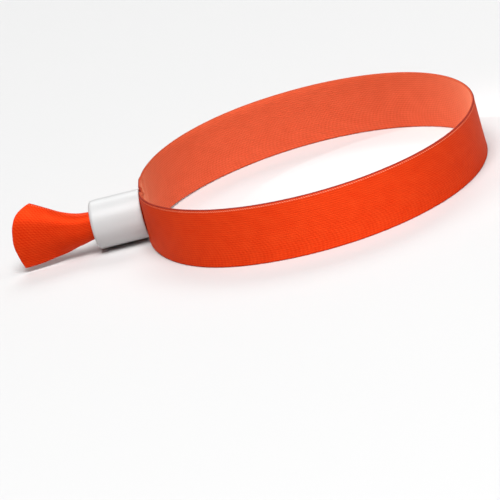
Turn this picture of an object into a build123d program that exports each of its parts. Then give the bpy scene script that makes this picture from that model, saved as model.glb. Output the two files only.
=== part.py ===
from build123d import *
from collections import namedtuple
from math import asin, cos, degrees, hypot, radians, sin
import os

os.makedirs("parts", exist_ok=True)

# Woven ribbon wristband standing on its lower edge, in millimetres.
# The origin is the middle of the wrist loop, at the height of that edge.
# +Z is up, and the lock and the tail point along -X.

# Ribbon
ribbon_width = 15.0
ribbon_wall = 1.0
loop_radius = 42.8          # middle line of the ribbon, seen from above

# Lock
lock_radius = 6.2
lock_bore_radius = 4.9
lock_length = 13.2
lock_height = 6.7           # axis above the resting edge
lock_tail_round = 1.0       # outer edge at the tail end
lock_funnel = 1.0           # rounded mouth of the bore at the loop end
lock_edge_round = 0.25      # the other two edges
mouth_gap = 0.1             # from the back strand to the lock's end

# Ribbon ends, the back layer folded inside the front one
crossing_inset = 0.2        # how far the back strand is pressed in where it crosses the mouth
crossing_start = 3.0        # where it has become straight, behind the lock's axis
crossing_end = 0.3          # where it starts its turn
bore_gap = 0.3
layer_gap = 0.2
fold_height = 7.3           # front layer inside the lock
fold_depth = 2.35

# Tail
tail_length = 20.2
tail_overrun = 1.0          # how far the layers are made before they are cut off

# Each strand turns into the lock round an upright axis. Turn is the share of the turn,
# reach the share of the way from the flat strand's place to the folded layer's place,
# and fold the share of the way from the ribbon's full height to the folded height.
TurnRow = namedtuple("TurnRow", "turn reach fold")
front_turn_rows = [
    TurnRow(turn=0.00, reach=0.00, fold=0.00),
    TurnRow(turn=0.33, reach=0.15, fold=0.38),
    TurnRow(turn=0.67, reach=0.66, fold=0.95),
    TurnRow(turn=1.00, reach=1.00, fold=1.00),
]
back_turn_rows = [
    TurnRow(turn=0.00, reach=0.00, fold=0.28),
    TurnRow(turn=0.33, reach=0.10, fold=0.56),
    TurnRow(turn=0.67, reach=0.40, fold=0.80),
    TurnRow(turn=1.00, reach=1.00, fold=1.00),
]

# The tail's front layer. Along is a share of tail_length, low and high are shares of
# ribbon_width from the lock's axis, and middle and edge are shares of front_middle,
# the distance from the axis to the folded front layer.
TailRow = namedtuple("TailRow", "along low high middle edge")
tail_rows = [
    TailRow(along=0.17, low=-0.225, high=0.315, middle=1.01, edge=0.52),
    TailRow(along=0.35, low=-0.283, high=0.427, middle=1.02, edge=0.57),
    TailRow(along=0.52, low=-0.330, high=0.560, middle=1.02, edge=0.60),
    TailRow(along=0.70, low=-0.360, high=0.692, middle=1.01, edge=0.61),
    TailRow(along=1.00, low=-0.345, high=0.880, middle=0.95, edge=0.61),
]

# Corners of the cut end, as shares of tail_length and of ribbon_width from the lock's axis
CutPoint = namedtuple("CutPoint", "along height")
cut_upper = CutPoint(along=0.690, height=0.693)
cut_shoulder = CutPoint(along=0.871, height=0.570)
cut_tip = CutPoint(along=1.000, height=0.064)
cut_lower = CutPoint(along=0.938, height=-0.350)

# Places worked out from the sizes above
half_wall = ribbon_wall / 2
layer_pitch = ribbon_wall + layer_gap
crossing_x = crossing_inset - loop_radius
mouth_x = crossing_x - half_wall - mouth_gap
lock_end_x = mouth_x - lock_length
front_middle = lock_bore_radius - bore_gap - half_wall
front_edge = front_middle - fold_depth
turn_x = mouth_x - lock_funnel
front_axis_y = -(lock_bore_radius + lock_funnel)
front_start = hypot(turn_x, front_axis_y) - loop_radius
strand_angle = degrees(asin(-front_axis_y / (loop_radius + front_start)))


def arc_of(middle, edge, chord):
    """Radius and half angle, in radians, of the arc through a strip's middle and both its edges."""
    depth = abs(edge - middle)
    radius = (chord**2 / 4 + depth**2) / (2 * depth)
    return radius, asin(chord / 2 / radius)


def strip_section(plane, middle, edge, low, high, inset=0.0):
    """The ribbon's cross-section, flat or bent to an arc. An inset nests a second layer inside the bend."""
    mid_height = (low + high) / 2
    flat = middle == edge
    radius, half_angle = (0, 0) if flat else arc_of(middle, edge, high - low)
    side = 1 if edge > middle else -1

    def arc_point(wall_side, angle):
        reach = radius - inset - side * wall_side * half_wall
        return middle + side * (radius - reach * cos(angle)), mid_height + reach * sin(angle)

    with BuildSketch(plane) as section:
        with BuildLine():
            if flat:
                near = Line((middle - half_wall, low), (middle - half_wall, high))
                far = Line((middle + half_wall, high), (middle + half_wall, low))
            else:
                near = ThreePointArc(*[arc_point(-1, angle) for angle in (-half_angle, 0, half_angle)])
                far = ThreePointArc(*[arc_point(1, angle) for angle in (half_angle, 0, -half_angle)])
            Line(near @ 1, far @ 0)
            Line(far @ 1, near @ 0)
        make_face()
    return section.sketch


def upright_plane(x, y, angle):
    """Upright plane whose own x runs level at this angle from +X, and whose y runs up from the floor."""
    direction = radians(angle)
    return Plane(
        origin=(x, y, 0),
        x_dir=(cos(direction), sin(direction), 0),
        z_dir=(sin(direction), -cos(direction), 0),
    )


def blend(start, end, share):
    return start + (end - start) * share


# The folded layers' places and heights inside the lock
fold_low = lock_height - fold_height / 2
fold_high = lock_height + fold_height / 2
fold_radius, fold_half_angle = arc_of(front_middle, front_edge, fold_height)
back_middle = front_middle - layer_pitch
back_radius = fold_radius - layer_pitch
back_edge = back_middle - back_radius * (1 - cos(fold_half_angle))
back_height = 2 * back_radius * sin(fold_half_angle)


def turn_sections(rows, axis_y, side, start, middle, edge, height, start_angle):
    """Sections of a strand on its way into the lock. Start, middle and edge are measured from its axis."""
    sections = []
    for row in rows:
        angle = blend(start_angle, 90, row.turn)
        middle_reach = blend(start, middle, row.reach)
        edge_reach = blend(start, edge, row.reach)
        low = blend(0, lock_height - height / 2, row.fold)
        high = blend(ribbon_width, lock_height + height / 2, row.fold)
        plane = upright_plane(turn_x, axis_y, side * angle)
        sections.append(strip_section(plane, middle_reach, edge_reach, low, high))
    return sections


def plane_across(x):
    """Upright plane across the lock's axis, whose own x runs forward from the axis."""
    return Plane(origin=(x, 0, 0), x_dir=(0, -1, 0), z_dir=(-1, 0, 0))


def tail_sections(inset):
    """Sections of one layer of the tail, from the lock's end to past the cut."""
    lock_end = plane_across(lock_end_x)
    sections = [strip_section(lock_end, front_middle, front_edge, fold_low, fold_high, inset)]
    for row in tail_rows:
        length = row.along * (tail_length + tail_overrun)
        middle = row.middle * front_middle
        edge = row.edge * front_middle
        low = lock_height + row.low * ribbon_width
        high = lock_height + row.high * ribbon_width
        sections.append(strip_section(plane_across(lock_end_x - length), middle, edge, low, high, inset))
    return sections


def cut_corner(point):
    return lock_end_x - point.along * tail_length, lock_height + point.height * ribbon_width


with BuildPart() as ribbon_band:
    # Wrist loop, open where the two strands turn into the lock
    with BuildSketch():
        with BuildLine():
            sweep_angle = 360 - 2 * strand_angle
            first_angle = strand_angle - 180
            outer = CenterArc((0, 0), loop_radius + half_wall, first_angle, sweep_angle)
            inner = CenterArc((0, 0), loop_radius - half_wall, first_angle, sweep_angle)
            Line(outer @ 0, inner @ 0)
            Line(outer @ 1, inner @ 1)
        make_face()
    extrude(amount=ribbon_width)

    # Front strand, hooked round the front of the lock's mouth
    front_sections = turn_sections(
        front_turn_rows,
        axis_y=front_axis_y,
        side=1,
        start=front_start,
        middle=-front_axis_y - front_middle,
        edge=-front_axis_y - front_edge,
        height=fold_height,
        start_angle=strand_angle,
    )
    loft(front_sections)

    # Back strand, straight across the mouth and then in beside the front one
    strand_end = radians(180 - strand_angle)
    loop_end = upright_plane(loop_radius * cos(strand_end), loop_radius * sin(strand_end), -strand_angle)
    crossing_sections = [
        strip_section(loop_end, 0, 0, 0, ribbon_width),
        strip_section(upright_plane(crossing_x, crossing_start, 0), 0, 0, 0, ribbon_width),
    ]
    back_sections = turn_sections(
        back_turn_rows,
        axis_y=crossing_end,
        side=-1,
        start=crossing_x - turn_x,
        middle=crossing_end + back_middle,
        edge=crossing_end + back_edge,
        height=back_height,
        start_angle=0,
    )
    loft(crossing_sections + back_sections[:1], ruled=True)
    loft(back_sections)

    # Both layers through the lock and out as the tail
    for inset in (0, layer_pitch):
        extrude(
            strip_section(plane_across(turn_x), front_middle, front_edge, fold_low, fold_high, inset),
            amount=turn_x - lock_end_x,
        )
        loft(tail_sections(inset))

    # Heat-cut end
    upper_x, upper_z = cut_corner(cut_upper)
    lower_x, lower_z = cut_corner(cut_lower)
    far_x = lock_end_x - tail_length - 2 * tail_overrun
    far_z = 2 * ribbon_width
    with BuildSketch(Plane.XZ):
        with BuildLine():
            Polyline(
                (lower_x, lower_z),
                (lower_x, -ribbon_width),
                (far_x, -ribbon_width),
                (far_x, far_z),
                (upper_x, far_z),
                (upper_x, upper_z),
                cut_corner(cut_shoulder),
            )
            ThreePointArc(cut_corner(cut_shoulder), cut_corner(cut_tip), (lower_x, lower_z))
        make_face()
    extrude(amount=ribbon_width, both=True, mode=Mode.SUBTRACT)

ribbon_band.part.label = "ribbon_band"
export_step(ribbon_band.part, "parts/ribbon_band.step")

with BuildPart() as barrel_lock:
    with BuildSketch(Plane.YZ.offset(lock_end_x)):
        with Locations((0, lock_height)):
            Circle(lock_radius)
            Circle(lock_bore_radius, mode=Mode.SUBTRACT)
    extrude(amount=lock_length)
    rims = barrel_lock.edges().filter_by(GeomType.CIRCLE).group_by(Axis.X)
    tail_end_edges = rims[0].sort_by(SortBy.RADIUS)
    mouth_edges = rims[-1].sort_by(SortBy.RADIUS)
    fillet(mouth_edges[0], radius=lock_funnel)
    fillet(tail_end_edges[-1], radius=lock_tail_round)
    fillet([tail_end_edges[0], mouth_edges[-1]], radius=lock_edge_round)

barrel_lock.part.label = "barrel_lock"
export_step(barrel_lock.part, "parts/barrel_lock.step")
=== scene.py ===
import math
from collections import namedtuple

import bpy
import numpy as np
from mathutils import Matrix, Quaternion, Vector


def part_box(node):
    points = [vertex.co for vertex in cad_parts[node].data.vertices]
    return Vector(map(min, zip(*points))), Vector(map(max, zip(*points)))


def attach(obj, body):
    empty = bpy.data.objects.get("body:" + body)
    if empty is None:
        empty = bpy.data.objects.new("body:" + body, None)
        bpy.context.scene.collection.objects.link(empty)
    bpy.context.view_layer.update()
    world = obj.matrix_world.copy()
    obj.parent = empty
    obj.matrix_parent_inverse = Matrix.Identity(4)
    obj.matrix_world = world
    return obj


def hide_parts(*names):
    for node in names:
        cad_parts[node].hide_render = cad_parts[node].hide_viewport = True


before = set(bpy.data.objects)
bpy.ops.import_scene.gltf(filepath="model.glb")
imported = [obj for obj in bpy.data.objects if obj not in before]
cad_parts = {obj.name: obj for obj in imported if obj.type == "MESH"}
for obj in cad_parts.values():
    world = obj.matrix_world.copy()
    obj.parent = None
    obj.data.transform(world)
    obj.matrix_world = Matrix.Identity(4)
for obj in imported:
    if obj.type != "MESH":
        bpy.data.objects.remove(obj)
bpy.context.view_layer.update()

# Satin ribbon wristband with a barrel lock, standing on its lower edge.
# The ribbon is one closed mesh of cloth. It is worked out station by station along its length,
# from the cut end of the tail's front layer round the wrist to the cut end of the back layer.
# Sizes are in millimetres, in the frame of the solids, with the lock and the tail along -X.
MM = 0.001

# Ribbon
RIBBON_WIDTH = 15.0
RIBBON_WALL = 0.6
HALF_WIDTH = RIBBON_WIDTH / 2
HALF_WALL = RIBBON_WALL / 2
CLOTH_GAP = 0.10            # from the cloth to what it lies against
LAYER_GAP = RIBBON_WALL + CLOTH_GAP
PICOT_OUT = 0.05            # how far every second station stands out at the woven edges
PICOT_RISE = 0.05           # how far it stands up in the row of stitches beside the edge
EDGE_BULGE = 0.7            # of a woven edge, as a share of half the wall
EDGE_DEPTH = 0.95           # thickness of that edge, as a share of the wall
EDGE_ANGLES = np.radians([-60, 0, 60])

# Wrist loop
LOOP_RADIUS = 43.0          # middle of the wall
LOOP_HALF = 7.41            # half height, short of the woven edges
LOOP_MIDDLE = 7.60          # height of the middle
GATHER = 0.7                # how far each edge is drawn in where the loop meets the lock
FRONT_GATHER_ANGLE = 30.0   # over how many degrees, on the front strand
BACK_GATHER_ANGLE = 60.0    # and on the back one
BACK_END_Y = 7.0            # where the back strand leaves the round

# Lock, as the solids have it
FUNNEL = 1.0                # rounding of the mouth
BORE_RADIUS = 4.9
lock_low, lock_high = (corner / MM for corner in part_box("barrel_lock"))
LOCK_END_X, MOUTH_X = lock_low.x, lock_high.x
TURN_X = MOUTH_X - FUNNEL
BORE_LENGTH = TURN_X - LOCK_END_X

# Each strand turns into the lock round an upright axis, at TURN_X and this far from the lock's axis
FRONT_AXIS_Y = -(BORE_RADIUS + FUNNEL)
BACK_AXIS_Y = 0.3
CROSSING_X = MOUTH_X + HALF_WALL + CLOTH_GAP

# Lengths that the stations are counted from
STATION_STEP = 0.2
TAIL_LENGTH = 20.2
FRONT_TURN_LENGTH = 2.6
BACK_TURN_LENGTH = 3.6

# Weave
TWILL_PITCH = 0.70
TWILL_ANGLE = math.radians(45)  # of the twill's lines from the ribbon's length
WARP_PITCH = 0.56
WEFT_PITCH = 0.42
WARP_SHARE = 0.55
WEFT_SHARE = 0.25
LOOP_TWILL = 0.3            # share of the twill in the weave's relief, on the loop
STITCH_COLUMN = 0.95        # as a share of the ribbon's half width
STITCH_FROM_EDGE = 0.42
STITCH_PITCH = 0.6
STITCH_HALF_WIDTH = 0.14
STITCH_COLOUR = (0.95, 0.36, 0.22)
TAIL_STITCHES = 0.3         # how much of the stitches' colour is left on the tail
NO_WAVE = 1e6               # pitch of a wave that doesn't change in that direction

# The front layer from inside the bore to the cut end. Out is the distance from the lock's end,
# forward how far the middle lies in front of the lock's axis, height that of the middle, and width
# a share of the ribbon's. The slope of the cloth is in degrees, as a cubic of the share across it
# from -1 to 1: at the middle, and its first, second and third power.
TailRow = namedtuple("TailRow", "out forward height width slope_0 slope_1 slope_2 slope_3")
TAIL_ROWS = (
    TailRow(-12.2, 4.10, 6.70, 0.66, 0, 66.6, 0, 0),
    TailRow(-9.0, 4.10, 6.75, 0.74, 0, 79.5, 0, 0),
    TailRow(-4.0, 4.12, 7.00, 0.95, 0, 122.5, 0, 0),
    TailRow(0.0, 4.15, 7.16, 0.81, -3, 92, 3, 40),
    TailRow(3.4, 4.15, 6.81, 0.84, -4, 80, 4, 30),
    TailRow(7.0, 4.15, 7.40, 0.86, 0, 66, 8, 6),
    TailRow(10.5, 4.10, 8.61, 0.93, 6, 57, 11, -18),
    TailRow(14.0, 4.05, 9.49, 1.08, 11, 54, 8, -24),
    TailRow(17.5, 4.00, 10.11, 1.175, 13, 50, 7, -25),
    TailRow(21.0, 3.95, 10.46, 1.21, 13, 48, 7, -24),
)
FOLD_FORWARD = TAIL_ROWS[0].forward

# The cut end: share across the ribbon from -1 at its lower edge, and distance from the lock's end
CUT_ROWS = (
    (-1.0, 18.95), (-0.8, 19.43), (-0.4, 20.05), (-0.2, 20.10), (0.2, 19.48), (0.5, 18.39),
    (0.7, 16.92), (0.8, 15.97), (0.9, 15.10), (1.0, 14.15),
)

# Each strand's turn into the lock. Turn is the share of the turn, reach the share of the way that
# the middle has come towards its place in the lock, curl one over the radius that the strand is
# bent to across its width, height that of the middle, and width a share of the ribbon's.
TurnRow = namedtuple("TurnRow", "turn reach curl height width")
FRONT_TURN = (
    TurnRow(0.0, 0.0, 0.000, 7.35, 0.880),
    TurnRow(0.2, 0.05, 0.015, 7.25, 0.850),
    TurnRow(0.5, 0.45, 0.100, 7.05, 0.800),
    TurnRow(0.8, 0.90, 0.200, 6.80, 0.740),
    TurnRow(1.0, 1.0, 0.235, 6.70, 0.660),
)
BACK_TURN = (
    TurnRow(0.0, 0.0, -0.010, 7.40, 0.813),
    TurnRow(0.33, 0.08, -0.020, 7.15, 0.660),
    TurnRow(0.5, 0.22, 0.000, 6.98, 0.500),
    TurnRow(0.67, 0.45, 0.060, 6.82, 0.425),
    TurnRow(0.85, 0.76, 0.180, 6.72, 0.440),
    TurnRow(0.93, 0.88, 0.235, 6.71, 0.475),
    TurnRow(1.0, 1.0, 0.2813, 6.70, 0.551),
)
LEAST_CURL = 1e-4           # a strand flatter than this is worked out with this curl

# The wrist loop isn't quite round: angle, how far its middle stands out, and how much further
# its upper edge does
LoopRow = namedtuple("LoopRow", "angle out lean")
LOOP_ROWS = (
    LoopRow(187, -0.05, -0.30), LoopRow(205, 0.05, 0.15), LoopRow(235, 0.15, -0.25),
    LoopRow(265, -0.10, -0.05), LoopRow(295, 0.05, 0.30), LoopRow(325, 0.25, 0.65),
    LoopRow(355, 0.00, 0.35), LoopRow(385, 0.15, -0.55), LoopRow(420, -0.10, -0.30),
    LoopRow(455, 0.00, -0.05), LoopRow(485, 0.30, 0.15), LoopRow(510, 0.40, -0.05),
    LoopRow(531, 0.20, -0.35),
)

# Columns across the ribbon as shares of its half width, closer together at the woven edges
half_columns = np.concatenate([np.linspace(0, 0.88, 9), [0.925, STITCH_COLUMN, 0.972, 0.99]])
columns = np.concatenate([-half_columns[:0:-1], half_columns])
column_count = len(columns)

# Places and weights for adding up the tail's slope across the ribbon
SUM_PLACES, SUM_WEIGHTS = np.polynomial.legendre.leggauss(12)


def smooth(rows, name, at):
    """Smooth curve through one column of a table, read at values of the table's first column."""
    x = np.array([row[0] for row in rows], float)
    y = np.array([getattr(row, name) for row in rows], float)
    step = np.diff(x)
    rise = np.diff(y) / step
    slope = np.empty(len(x))
    slope[1:-1] = (rise[:-1] * step[1:] + rise[1:] * step[:-1]) / (step[:-1] + step[1:])
    slope[0], slope[-1] = rise[0], rise[-1]
    at = np.clip(np.asarray(at, float), x[0], x[-1])
    i = np.clip(np.searchsorted(x, at, side="right") - 1, 0, len(step) - 1)
    t = (at - x[i]) / step[i]
    return (
        y[i] * (1 + 2 * t) * (1 - t) ** 2
        + slope[i] * step[i] * t * (1 - t) ** 2
        + y[i + 1] * t * t * (3 - 2 * t)
        - slope[i + 1] * step[i] * t * t * (1 - t)
    )


def stations(length):
    """How many stations a stretch of the ribbon has, both its ends among them."""
    return max(2, int(round(length / STATION_STEP)) + 1)


def tail_layer(out, across):
    """Middle surface of the front layer, inside the lock and out as the tail."""
    at = across[..., None] * (SUM_PLACES + 1) / 2
    slope = sum(smooth(TAIL_ROWS, f"slope_{power}", out)[..., None] * at ** power for power in range(4))
    length = HALF_WIDTH * smooth(TAIL_ROWS, "width", out) * across / 2
    y = length * (np.sin(np.radians(slope)) @ SUM_WEIGHTS) - smooth(TAIL_ROWS, "forward", out)
    z = length * (np.cos(np.radians(slope)) @ SUM_WEIGHTS) + smooth(TAIL_ROWS, "height", out)
    return np.stack([LOCK_END_X - out, y, z], -1)


def turn_layer(rows, share, axis_y, start, start_angle, end, side):
    """Middle surface of a strand where it turns round an upright axis into the lock."""
    curl = smooth(rows, "curl", share)
    curl = np.where(np.abs(curl) < LEAST_CURL, LEAST_CURL, curl)
    bend = HALF_WIDTH * smooth(rows, "width", share) * columns * curl
    middle = start + (end - start) * smooth(rows, "reach", share)
    reach = middle + side * (1 - np.cos(bend)) / curl
    angle = side * np.radians(start_angle + (90 - start_angle) * share)
    return np.stack([
        TURN_X + reach * np.cos(angle),
        axis_y + reach * np.sin(angle),
        smooth(rows, "height", share) + np.sin(bend) / curl,
    ], -1)


def loop_reach(angles):
    """How far each column of the loop lies from its middle."""
    return LOOP_RADIUS + smooth(LOOP_ROWS, "out", angles) + smooth(LOOP_ROWS, "lean", angles) * columns


# Where the loop starts and ends, in degrees round its middle. Mouth reach is the distance from
# there to the axis that the front strand turns round.
mouth_reach = math.hypot(TURN_X, FRONT_AXIS_Y)
strand_angle = math.degrees(math.asin(-FRONT_AXIS_Y / mouth_reach))
loop_start = 180 + strand_angle
loop_end = 540 - math.degrees(math.asin(BACK_END_Y / LOOP_RADIUS))


# The stretches of the ribbon in their order, each without the station that it shares with the one
# before it
def tail():
    """From the cut end, its stations bent to the cut, to the lock's end, where they are straight."""
    share = np.linspace(1, 0, stations(TAIL_LENGTH))[:, None]
    cut_at = np.interp(columns, *np.array(CUT_ROWS).T)
    return tail_layer(share * cut_at, columns + 0 * share)


def bore():
    """The front layer, straight through the lock."""
    out = np.linspace(0, -BORE_LENGTH, stations(BORE_LENGTH))[1:, None]
    return tail_layer(out + 0 * columns, columns + 0 * out)


def front_turn():
    """From the lock out to the loop, round the front of the mouth."""
    share = np.linspace(1, 0, stations(FRONT_TURN_LENGTH))[1:, None] + 0 * columns
    start = mouth_reach - loop_reach(loop_start)
    return turn_layer(FRONT_TURN, share, FRONT_AXIS_Y, start, strand_angle, -FRONT_AXIS_Y - FOLD_FORWARD, 1)


def wrist_loop():
    """Round the wrist, with the ribbon's edges drawn in towards both ends."""
    length = LOOP_RADIUS * math.radians(loop_end - loop_start)
    angles = np.linspace(loop_start, loop_end, stations(length))[1:, None]
    front_near = np.clip(1 - (angles - loop_start) / FRONT_GATHER_ANGLE, 0, 1) ** 2
    back_near = np.clip(1 - (loop_end - angles) / BACK_GATHER_ANGLE, 0, 1) ** 2
    front_half = HALF_WIDTH * FRONT_TURN[0].width
    half_height = LOOP_HALF - (LOOP_HALF - front_half) * front_near - GATHER * back_near
    middle_height = LOOP_MIDDLE + (FRONT_TURN[0].height - LOOP_MIDDLE) * front_near
    reach = loop_reach(angles)
    return np.stack([
        reach * np.cos(np.radians(angles)),
        reach * np.sin(np.radians(angles)),
        middle_height + half_height * columns,
    ], -1)


def mouth_crossing(start):
    """The back strand from the loop's last station, straight across the lock's mouth."""
    share = np.linspace(0, 1, stations(BACK_END_Y - BACK_AXIS_Y))[1:, None]
    ease = share ** 2 * (3 - 2 * share)
    early = np.clip(2 * share, 0, 1)
    early_ease = early ** 2 * (3 - 2 * early)
    start_half = LOOP_HALF - GATHER
    half_height = start_half + (HALF_WIDTH * BACK_TURN[0].width - start_half) * share ** 2
    middle_height = LOOP_MIDDLE + (BACK_TURN[0].height - LOOP_MIDDLE) * ease
    return np.stack([
        start[:, 0] + (CROSSING_X - start[:, 0]) * early_ease,
        start[:, 1] + (BACK_AXIS_Y - start[:, 1]) * share,
        middle_height + half_height * columns,
    ], -1)


def back_turn():
    """From the mouth into the lock, inside the front layer."""
    share = np.linspace(0, 1, stations(BACK_TURN_LENGTH))[1:, None] + 0 * columns
    end = BACK_AXIS_Y + FOLD_FORWARD - LAYER_GAP
    return turn_layer(BACK_TURN, share, BACK_AXIS_Y, CROSSING_X - TURN_X, 0.0, end, -1)


def normals_of(grid):
    normal = np.cross(np.gradient(grid, axis=0), np.gradient(grid, axis=1))
    return normal / np.linalg.norm(normal, axis=-1, keepdims=True)


# Middle surface of the whole ribbon. The back layer lies inside the front one, from the bore to
# the cut.
front_layer = np.concatenate([tail(), bore()])
back_layer = front_layer - normals_of(front_layer) * LAYER_GAP
loop = wrist_loop()
spine = np.concatenate([
    front_layer, front_turn(), loop, mouth_crossing(loop[-1]), back_turn(), back_layer[::-1][1:],
])
normal = normals_of(spine)
station_count = len(spine)
odd = (np.arange(station_count) % 2)[:, None]


def edge_ring(column, sign):
    """Points round one woven edge, from the outer face to the inner one."""
    across = np.gradient(spine, axis=1)[:, column]
    across = sign * across / np.linalg.norm(across, axis=-1, keepdims=True)
    ring = []
    for angle in EDGE_ANGLES:
        reach = HALF_WALL * EDGE_BULGE * math.cos(angle) + PICOT_OUT * odd
        depth = HALF_WALL * EDGE_DEPTH * math.sin(angle)
        ring.append(spine[:, column] + across * reach - normal[:, column] * depth)
    return np.stack(ring, 1)


# Ring of points round each section: outer face, upper edge, inner face, lower edge
stitch_rise = odd * np.where(np.abs(columns) == STITCH_COLUMN, PICOT_RISE, 0)
outer_face = spine + normal * (HALF_WALL + stitch_rise)[..., None]
inner_face = spine - normal * (HALF_WALL + stitch_rise / 2)[..., None]
rings = np.concatenate([outer_face, edge_ring(-1, 1), inner_face[:, ::-1], edge_ring(0, -1)[:, ::-1]], 1)
ring_size = rings.shape[1]
edge_size = len(EDGE_ANGLES)

# The walls between the rings, and the faces that close each cut end
faces = []
for base in range(0, (station_count - 1) * ring_size, ring_size):
    for corner in range(ring_size):
        beside = (corner + 1) % ring_size
        faces.append((base + corner, base + ring_size + corner, base + ring_size + beside, base + beside))
last_inner = 2 * column_count + edge_size - 1
cap = [(j, j + 1, last_inner - 1 - j, last_inner - j) for j in range(column_count - 1)]
cap.append(tuple(range(column_count - 1, column_count + edge_size + 1)))
cap.append((*range(last_inner, ring_size), 0))
last_base = (station_count - 1) * ring_size
faces += cap
faces += [tuple(last_base + corner for corner in reversed(corners)) for corners in cap]

mesh = bpy.data.meshes.new("ribbon")
mesh.from_pydata([tuple(point) for point in rings.reshape(-1, 3) * MM], [], faces)
mesh.update()
mesh.polygons.foreach_set("use_smooth", np.ones(len(mesh.polygons), bool))
ribbon = bpy.data.objects.new("ribbon", mesh)
bpy.context.scene.collection.objects.link(ribbon)

# Cloth coordinates for the weave, in millimetres: along each column's own length from the lock's
# end, negative on the tail, and across from the ribbon's middle
steps = np.linalg.norm(np.diff(spine, axis=0), axis=-1)
along = np.concatenate([np.zeros((1, column_count)), np.cumsum(steps, 0)])
along -= along[stations(TAIL_LENGTH) - 1]
ring_column = np.concatenate([
    np.arange(column_count), np.full(edge_size, column_count - 1),
    np.arange(column_count)[::-1], np.zeros(edge_size, int),
])
ring_across = HALF_WIDTH * np.concatenate([
    columns, np.full(edge_size, 1.0), columns[::-1], np.full(edge_size, -1.0),
])
corner_points = np.empty(len(mesh.loops), int)
mesh.loops.foreach_get("vertex_index", corner_points)
station, place_in_ring = np.divmod(corner_points, ring_size)
coords = np.stack([along[station, ring_column[place_in_ring]], ring_across[place_in_ring]], -1)
weave = mesh.uv_layers.new(name="weave")
weave.data.foreach_set("uv", coords.astype(np.float32).ravel())


class Material:
    """A material's nodes, with short calls to add them."""

    def __init__(self, name):
        self.data = bpy.data.materials.new(name)
        self.data.use_nodes = True
        self.tree = self.data.node_tree
        self.shader = self.tree.nodes["Principled BSDF"]

    def put(self, target, values):
        """Sets a node's inputs, by a link where the value is another node's output."""
        for name, value in values.items():
            if isinstance(value, bpy.types.NodeSocket):
                self.tree.links.new(value, target.inputs[name])
            else:
                target.inputs[name].default_value = value

    def add(self, kind, values, **settings):
        made = self.tree.nodes.new(kind)
        for name, setting in settings.items():
            setattr(made, name, setting)
        self.put(made, values)
        return made

    def maths(self, operation, *values):
        return self.add("ShaderNodeMath", dict(enumerate(values)), operation=operation).outputs[0]

    def noise(self, place, scale, detail):
        values = {"Vector": place, "Scale": scale, "Detail": detail}
        return self.add("ShaderNodeTexNoise", values).outputs["Fac"]

    def ranged(self, value, source, target):
        """Value from one range carried over to another, and held at its ends."""
        return self.add("ShaderNodeMapRange", {
            "Value": value, "From Min": source[0], "From Max": source[1],
            "To Min": target[0], "To Max": target[1],
        }).outputs[0]

    def mix(self, share, first, second):
        return self.add("ShaderNodeMix", {0: share, 6: first, 7: second}, data_type="RGBA").outputs[2]

    def bump(self, height, strength, distance):
        values = {"Height": height, "Strength": strength, "Distance": distance}
        return self.add("ShaderNodeBump", values).outputs["Normal"]


def plastic_material():
    """Plain white moulded plastic, with a fine grain and slightly uneven gloss."""
    material = Material("lock_plastic")
    place = material.add("ShaderNodeTexCoord", {}).outputs["Object"]
    tint = material.noise(place, 90.0, 3.0)
    grain = material.noise(place, 2500.0, 2.0)
    material.put(material.shader, {
        "Base Color": material.mix(tint, (0.53, 0.53, 0.53, 1), (0.57, 0.57, 0.57, 1)),
        "Roughness": material.ranged(tint, (0, 1), (0.38, 0.48)),
        "Normal": material.bump(grain, 0.12, 0.00005),
    })
    return material.data


Cloth = namedtuple("Cloth", "name dark light roughness twill stitches finish")
FACE = Cloth(
    name="ribbon_satin_face", dark=(0.61, 0.021, 0.002), light=(0.79, 0.066, 0.012), roughness=0.46,
    twill=0.5, stitches=0.7,
    finish={"Metallic": 0.15, "Specular Tint": (1.0, 0.8, 0.2, 1), "Anisotropic": 0.8},
)
BACK = Cloth(
    name="ribbon_satin_back", dark=(0.63, 0.078, 0.027), light=(0.85, 0.140, 0.058), roughness=0.70,
    twill=0.3, stitches=0.0,
    finish={"Sheen Weight": 0.5, "Sheen Roughness": 0.4, "Sheen Tint": (1.0, 0.5, 0.3, 1)},
)
# Painted shade: the dark colour of the upper edge's outer half stands in for a shadow line along the top of
# the ribbon
EDGE_PAINTED_SHADE = Cloth(
    name="ribbon_satin_edge_painted_shade", dark=(0.24, 0.028, 0.016), light=(0.30, 0.034, 0.024), roughness=0.70,
    twill=0.2, stitches=0.0, finish={},
)
# Painted shade: the inner face's colour, darkened where light falls on the top of the upper edge
SELVEDGE_PAINTED_SHADE = Cloth(
    name="ribbon_selvedge_painted_shade", dark=(0.40, 0.050, 0.018), light=(0.54, 0.090, 0.038), roughness=0.70,
    twill=0.2, stitches=0.0, finish={},
)
CLOTH_SPECULAR = 0.05


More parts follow.
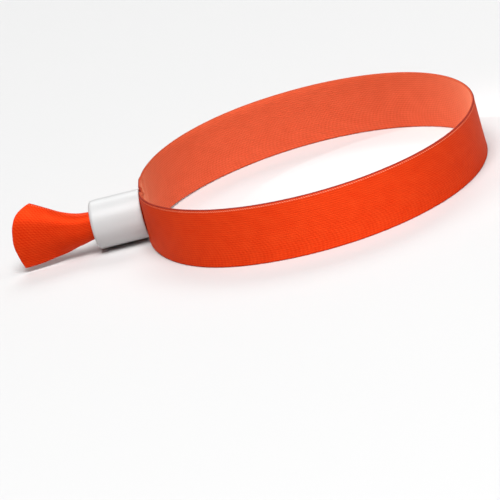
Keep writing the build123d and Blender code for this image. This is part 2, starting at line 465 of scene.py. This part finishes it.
def satin_material(cloth):
    """Woven satin: diagonal twill over fine threads, slight mottling, a row of stitches, and painted shade
    that darkens the tail.
    """
    material = Material(cloth.name)
    maths = material.maths
    uv = material.add("ShaderNodeUVMap", {}, uv_map="weave").outputs["UV"]
    split = material.add("ShaderNodeSeparateXYZ", {"Vector": uv})
    along_cloth, across_cloth = split.outputs["X"], split.outputs["Y"]

    def wave(pitch_along, pitch_across):
        """Sine whose pitches are along and across the ribbon."""
        phase = maths("MULTIPLY", along_cloth, 2 * math.pi / pitch_along)
        phase = maths("MULTIPLY_ADD", across_cloth, 2 * math.pi / pitch_across, phase)
        return maths("SINE", phase)

    def change(at_tail, at_loop, reach=3.0):
        """A value that goes over from the tail's to the loop's within this reach of the lock's end."""
        return material.ranged(along_cloth, (-reach, reach), (at_tail, at_loop))

    # The twill shows most on the tail, where the cloth is drawn out of the lock
    twill = wave(TWILL_PITCH / math.sin(TWILL_ANGLE), TWILL_PITCH / math.cos(TWILL_ANGLE))
    warp = maths("MULTIPLY", wave(NO_WAVE, WARP_PITCH), WARP_SHARE)
    threads = maths("MULTIPLY_ADD", wave(WEFT_PITCH, NO_WAVE), WEFT_SHARE, warp)
    twill_share = change(cloth.twill, LOOP_TWILL)
    uneven = material.ranged(material.noise(uv, 1.1, 1.0), (0.3, 0.7), (0.2, 1.2))
    twill = maths("MULTIPLY", maths("MULTIPLY", twill, twill_share), uneven)
    relief = maths("MULTIPLY_ADD", threads, maths("SUBTRACT", 1.0, twill_share), twill)

    # Colour, from the weave's relief, from slow and fine mottling, and from painted shade: the whole tail's
    # cloth is set darker than the loop's
    mottled = maths("MULTIPLY_ADD", material.noise(uv, 0.3, 4.0), 0.5, -0.25)
    fibre = material.noise(uv, 4.0, 2.0)
    shade = maths("MULTIPLY_ADD", relief, 0.45, change(0.35, 0.5, reach=2.0))
    shade = maths("ADD", shade, mottled)
    shade = maths("ADD", shade, maths("MULTIPLY_ADD", fibre, 0.4, -0.2))
    colour = material.mix(shade, (*cloth.dark, 1), (*cloth.light, 1))

    # Stitches: short light bars in a narrow strip beside the upper edge, fainter on the tail
    from_edge = maths("SUBTRACT", HALF_WIDTH, across_cloth)
    strip = maths("COMPARE", from_edge, STITCH_FROM_EDGE, STITCH_HALF_WIDTH)
    bars = maths("GREATER_THAN", wave(STITCH_PITCH, NO_WAVE), 0.0)
    strength = change(TAIL_STITCHES * cloth.stitches, cloth.stitches)
    stitches = maths("MULTIPLY", maths("MULTIPLY", strip, bars), strength)

    tangent = material.add("ShaderNodeTangent", {}, direction_type="UV_MAP", uv_map="weave")
    material.put(material.shader, {
        "Base Color": material.mix(stitches, colour, (*STITCH_COLOUR, 1)),
        "Roughness": material.ranged(fibre, (0, 1), (cloth.roughness - 0.06, cloth.roughness + 0.06)),
        "Normal": material.bump(relief, 1.0, 0.00002),
        "Tangent": tangent.outputs[0],
        "Specular IOR Level": CLOTH_SPECULAR,
        **cloth.finish,
    })
    return material.data


# The upper edge carries painted shade: its outer half is painted dark as a shadow line along the top, and
# its inner half is painted darker than the inner face to offset the light that falls on it. The other edges
# take the faces' colours
cloths = (FACE, BACK, EDGE_PAINTED_SHADE, SELVEDGE_PAINTED_SHADE)
for cloth in cloths:
    mesh.materials.append(satin_material(cloth))
face, back, painted_shade_edge, painted_shade_selvedge = range(len(cloths))
half_edge = (edge_size + 1) // 2
slot_of_ring = np.concatenate([
    np.full(column_count - 1, face), np.full(half_edge, painted_shade_edge), np.full(half_edge, painted_shade_selvedge),
    np.full(column_count - 1, back), np.full(half_edge, back), np.full(half_edge, face),
])
slots = np.concatenate([np.tile(slot_of_ring, station_count - 1), np.full(2 * len(cap), face)])
mesh.polygons.foreach_set("material_index", slots)

for material_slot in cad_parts["barrel_lock"].material_slots:
    material_slot.material = plastic_material()

# Floor
FLOOR_HALF = 1.5
floor_mesh = bpy.data.meshes.new("floor")
floor_corners = [(x * FLOOR_HALF, y * FLOOR_HALF, 0) for x, y in ((-1, -1), (1, -1), (1, 1), (-1, 1))]
floor_mesh.from_pydata(floor_corners, [], [(0, 1, 2, 3)])
floor = bpy.data.objects.new("floor", floor_mesh)
bpy.context.scene.collection.objects.link(floor)
floor_material = Material("floor")
floor_material.put(floor_material.shader, {"Base Color": (0.64, 0.64, 0.64, 1), "Roughness": 0.9})
floor_mesh.materials.append(floor_material.data)

# Light, in metres and watts: soft panels round the object, all aimed at the loop's middle, and
# two narrow soft spots, low on the front of the loop and on its inside
PANELS = (
    ("front", (0.15, -1.25, 2.1), (1.4, 0.9), 50),
    ("high", (0.1, -0.65, 2.4), (1.4, 0.9), 30),
    ("back", (0.0, 1.8, 1.8), (1.6, 1.0), 25),
    ("left", (-1.9, -0.3, 1.6), (1.2, 1.2), 3),
    ("right", (1.9, -0.3, 1.6), (1.2, 1.2), 6),
)
SPOTS = (
    ("low", (0.5, -1.46, 0.03), (0.012, -0.04, 0.008), 3.4, 34),
    ("inside", (-1.4, 0.5, 1.1), (0.036, 0.010, 0.01), 2.6, 100),
)
SPOT_RADIUS = 0.025
WORLD_STRENGTH = 0.02


def facing(place, aim):
    """Turn of a light or the camera from its place towards another."""
    return (Vector(aim) - Vector(place)).to_track_quat("-Z", "Y")


def add_light(kind, name, place, aim, power):
    light = bpy.data.lights.new(name, kind)
    light.energy = power
    holder = bpy.data.objects.new(name, light)
    holder.location = place
    holder.rotation_euler = facing(place, aim).to_euler()
    bpy.context.scene.collection.objects.link(holder)
    return light


for name, place, size, power in PANELS:
    panel = add_light("AREA", name, place, (0, 0, 0), power)
    panel.shape = "RECTANGLE"
    panel.size, panel.size_y = size
for name, place, aim, angle, power in SPOTS:
    spot = add_light("SPOT", name, place, aim, power)
    spot.shadow_soft_size = SPOT_RADIUS
    spot.spot_size = math.radians(angle)
    spot.spot_blend = 1.0
world = bpy.data.worlds.new("studio")
world.use_nodes = True
world.node_tree.nodes["Background"].inputs["Color"].default_value = (1, 1, 1, 1)
world.node_tree.nodes["Background"].inputs["Strength"].default_value = WORLD_STRENGTH
bpy.context.scene.world = world

# Camera, fitted to the photograph: where it stands, what it looks at and how it leans
CAMERA_PLACE = Vector((194.17, -1676.02, 544.50)) * MM
CAMERA_AIM = Vector((-16.88, -28.48, 0.0)) * MM
CAMERA_LEAN = math.radians(-16.2)
CAMERA_SENSOR = 36.0
CAMERA_LENS = 514.47
camera_data = bpy.data.cameras.new("camera")
camera_data.sensor_width = CAMERA_SENSOR
camera_data.lens = CAMERA_LENS
camera_data.clip_start, camera_data.clip_end = 0.1, 20
camera = bpy.data.objects.new("camera", camera_data)
camera.location = CAMERA_PLACE
camera.rotation_mode = "QUATERNION"
camera.rotation_quaternion = facing(CAMERA_PLACE, CAMERA_AIM) @ Quaternion((0, 0, 1), CAMERA_LEAN)
bpy.context.scene.collection.objects.link(camera)
bpy.context.scene.camera = camera
bpy.context.scene.view_settings.view_transform = "Standard"

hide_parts("ribbon_band")
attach(ribbon, "root")
